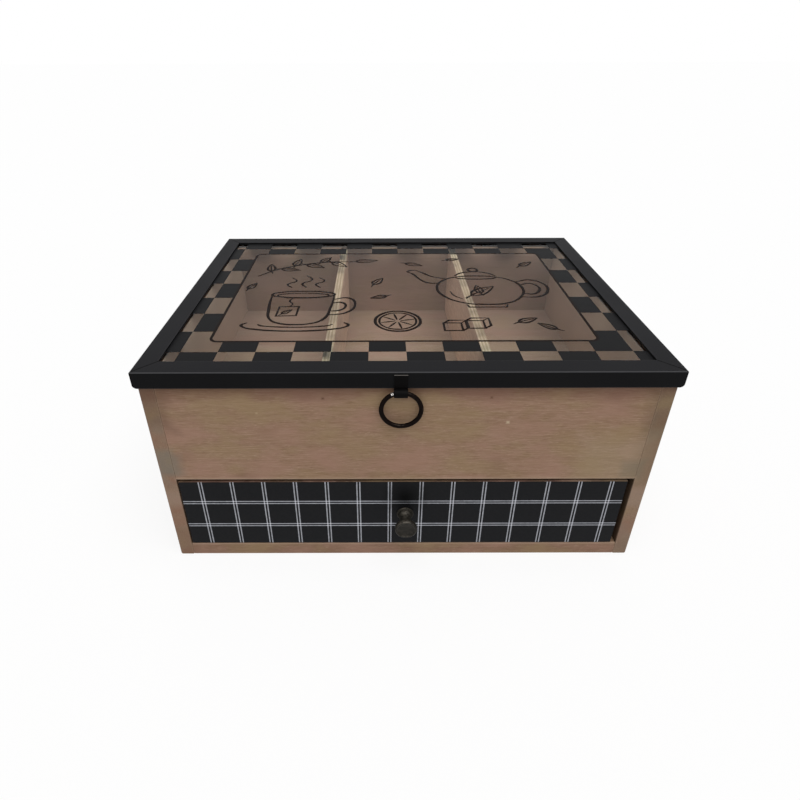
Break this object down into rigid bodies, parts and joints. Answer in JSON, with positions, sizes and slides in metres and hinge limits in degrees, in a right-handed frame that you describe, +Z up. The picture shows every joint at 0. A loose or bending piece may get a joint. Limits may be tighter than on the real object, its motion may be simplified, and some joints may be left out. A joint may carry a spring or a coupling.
{
  "type": "tea bag drawer box",
  "caption": "Wooden tea box with compartments under a hinged glazed metal lid with a pull ring, and a shallow drawer with a turned knob in its base.",
  "frame": {"origin": "centre of the carcass's underside, on the surface that the box stands on", "axes": "+X right, +Y to the back, +Z up; the drawer and the pull ring face -Y"},
  "size_m": [0.24, 0.197, 0.1141],
  "materials": {
    "stained_wood": "grey-brown stain, matt",
    "pale_plywood": "raw plywood",
    "black_print": "printed black, satin",
    "black_frame": "black paint, satin",
    "lid_glass": "clear float glass",
    "pewter": "antique pewter",
    "zinc_steel": "zinc plated",
    "black_hinge": "black paint, satin"
  },
  "bodies": {
    "carcass": {"left_side_panel": "stained_wood", "right_side_panel": "stained_wood", "front_panel": "stained_wood", "back_panel": "stained_wood", "bottom_board": "stained_wood", "shelf_board": "stained_wood", "divider_left": "pale_plywood", "divider_right": "pale_plywood", "hinge_leaf_box_left": "black_hinge", "hinge_leaf_box_right": "black_hinge", "hinge_pin_left": "black_hinge", "hinge_pin_right": "black_hinge", "hinge_screws": "black_hinge"},
    "lid": {"lid_frame_front": "black_frame", "lid_frame_back": "black_frame", "lid_frame_left": "black_frame", "lid_frame_right": "black_frame", "lid_glass": "lid_glass", "glass_clips": "black_frame", "pull_tab": "black_frame", "hinge_leaf_lid_left": "black_hinge", "hinge_leaf_lid_right": "black_hinge", "hinge_rivets": "black_hinge"},
    "drawer": {"drawer_front": "stained_wood", "drawer_front_print": "black_print", "drawer_side_left": "pale_plywood", "drawer_side_right": "pale_plywood", "drawer_back": "pale_plywood", "drawer_bottom": "pale_plywood", "drawer_knob": "pewter", "knob_washer": "zinc_steel", "knob_screw": "zinc_steel"},
    "ring": {"pull_ring": "black_frame"}
  },
  "joints": [
    {"name": "lid_hinge", "type": "hinge", "parent": "carcass", "child": "lid", "pos_m": [0, 0.093, 0.1035], "axis": [-1, 0, 0], "range_deg": [0, 110]},
    {"name": "drawer_slide", "type": "slide", "parent": "carcass", "child": "drawer", "axis": [0, -1, 0], "range_m": [0, 0.15]},
    {"name": "ring_swing", "type": "hinge", "parent": "lid", "child": "ring", "pos_m": [-0.00305, -0.093, 0.1037], "axis": [-1, 0, 0], "range_deg": [-3, 150]}
  ]
}
